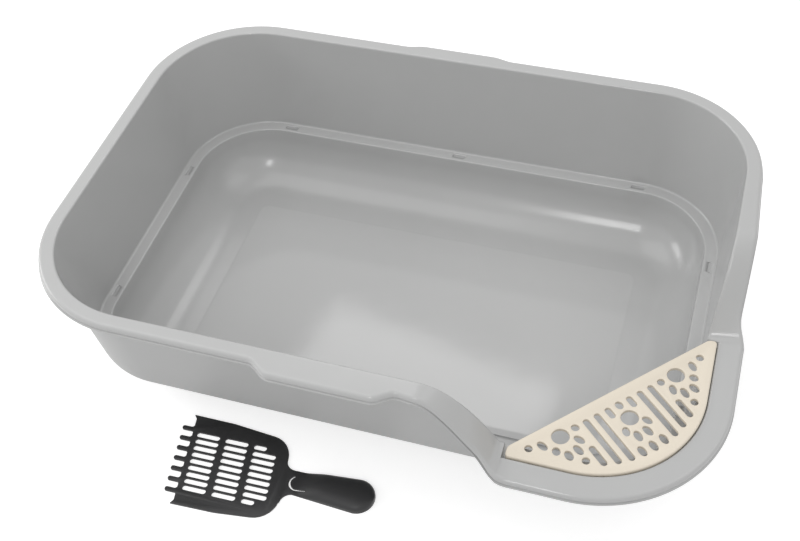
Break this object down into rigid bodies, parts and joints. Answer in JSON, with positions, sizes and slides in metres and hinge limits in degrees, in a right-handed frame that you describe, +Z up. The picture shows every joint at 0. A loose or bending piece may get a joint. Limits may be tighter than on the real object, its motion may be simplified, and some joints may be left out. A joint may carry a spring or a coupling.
{
  "type": "open-top litter box",
  "caption": "Open-top plastic litter box with a rolled rim, an inner ledge and one low entry corner that holds a lift-out pierced grate, with a slotted scoop.",
  "frame": {"origin": "on the floor under the middle of the pan's rim, in the flat underside that the pan stands on", "axes": "+Z up, +X along the pan's long side towards the end with the entry corner, +Y towards the back, so the entry corner is at +X and -Y"},
  "size_m": [0.6115, 0.4697, 0.17],
  "materials": {
    "pan_plastic": "satin warm grey",
    "grate_plastic": "satin cream",
    "scoop_plastic": "satin black"
  },
  "bodies": {
    "pan": {"litter_pan": "pan_plastic"},
    "grate": {"corner_grate": "grate_plastic"},
    "scoop": {"litter_scoop": "scoop_plastic"}
  },
  "joints": [
    {"name": "grate_lift", "type": "slide", "parent": "pan", "child": "grate", "axis": [0, 0, 1], "range_m": [0, 0.12]},
    {"name": "scoop_pull", "type": "slide", "parent": "pan", "child": "scoop", "axis": [0, -1, 0], "range_m": [0, 0.25]}
  ]
}
